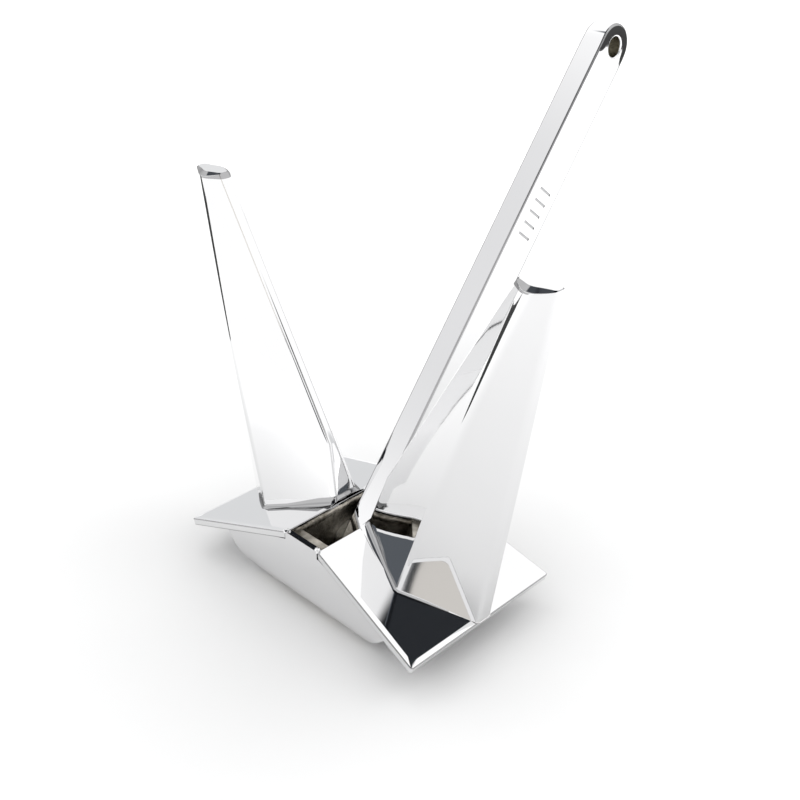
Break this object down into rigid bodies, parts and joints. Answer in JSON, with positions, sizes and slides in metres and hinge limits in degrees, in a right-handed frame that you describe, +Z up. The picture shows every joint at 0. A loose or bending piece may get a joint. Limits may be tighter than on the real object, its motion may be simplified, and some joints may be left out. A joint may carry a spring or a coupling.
{
  "type": "boat anchor",
  "caption": "Stockless boat anchor in polished stainless steel: a flat bar shank swings on a pin in a hollow crown with sloping palms and tall hollow flukes.",
  "frame": {"origin": "centre of the crown's flat underside, which the anchor stands on", "axes": "+Z up out of the crown, +X from the left fluke to the right fluke, +Y the way the shank leans at rest"},
  "size_m": [0.3786, 0.3933, 0.4229],
  "materials": {
    "polished_plate": "polished",
    "polished_bar": "polished",
    "turned_steel": "satin",
    "as_welded_steel": "matte"
  },
  "bodies": {
    "crown": {"crown_wrapper": "polished_plate", "front_stop_bar": "as_welded_steel", "back_stop_bar": "as_welded_steel", "pivot_pin": "turned_steel", "left_crown_end": "polished_plate", "left_palm": "polished_plate", "left_cheek": "as_welded_steel", "left_spacer": "turned_steel", "left_pin_collar": "turned_steel", "left_fluke_inner_shell": "polished_plate", "left_fluke_outer_shell": "polished_plate", "left_fluke_tip": "polished_plate", "right_crown_end": "polished_plate", "right_palm": "polished_plate", "right_cheek": "as_welded_steel", "right_spacer": "turned_steel", "right_pin_collar": "turned_steel", "right_fluke_inner_shell": "polished_plate", "right_fluke_outer_shell": "polished_plate", "right_fluke_tip": "polished_plate"},
    "shank": {"shank": "polished_bar"}
  },
  "joints": [
    {"name": "shank_pivot", "type": "hinge", "parent": "crown", "child": "shank", "pos_m": [0, 0, 0.03], "axis": [1, 0, 0], "range_deg": [0, 76.4]}
  ]
}
